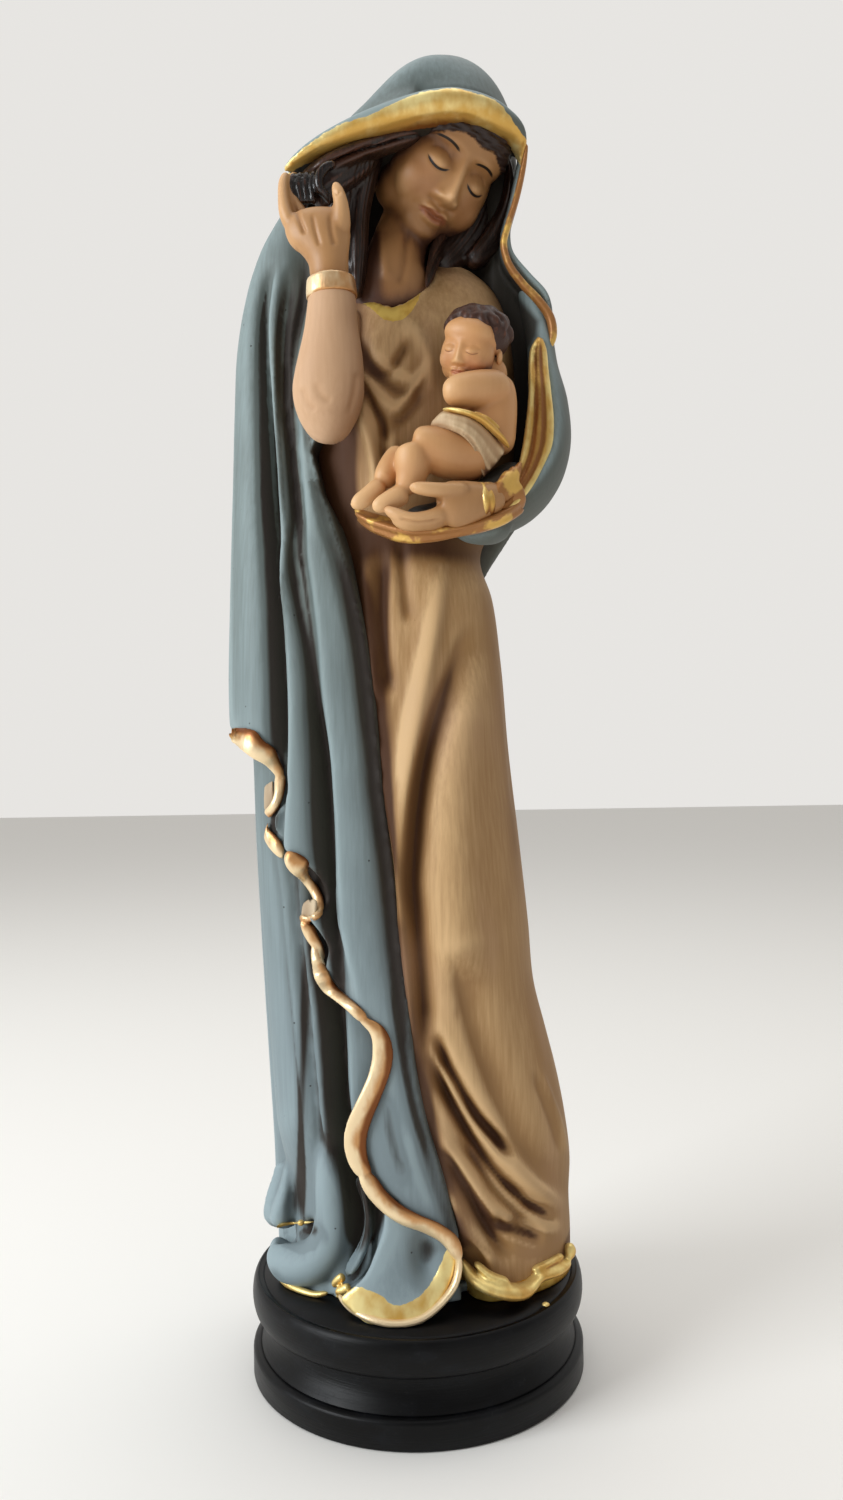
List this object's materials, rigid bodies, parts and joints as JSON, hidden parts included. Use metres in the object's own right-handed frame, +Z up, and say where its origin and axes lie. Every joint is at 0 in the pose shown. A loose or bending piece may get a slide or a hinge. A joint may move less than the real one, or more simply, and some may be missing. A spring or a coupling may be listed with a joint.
{
  "type": "virgin and child statuette",
  "caption": "Painted cast figure of a veiled mother bowed over the sleeping child in her arm, standing on a round turned plinth.",
  "frame": {"origin": "middle of the plinth's underside, on the surface it stands on", "axes": "+Z up the figure, -Y towards the viewer that the figure faces, +X to that viewer's right"},
  "size_m": [0.0799, 0.076, 0.3],
  "materials": {
    "mantle_paint": "matt",
    "plinth_paint": "satin",
    "robe_paint": "matt",
    "skin_paint": "satin",
    "hair_paint": "gloss",
    "gold_paint": "satin"
  },
  "bodies": {
    "root": {"figure": "mantle_paint", "plinth": "plinth_paint"}
  },
  "joints": []
}
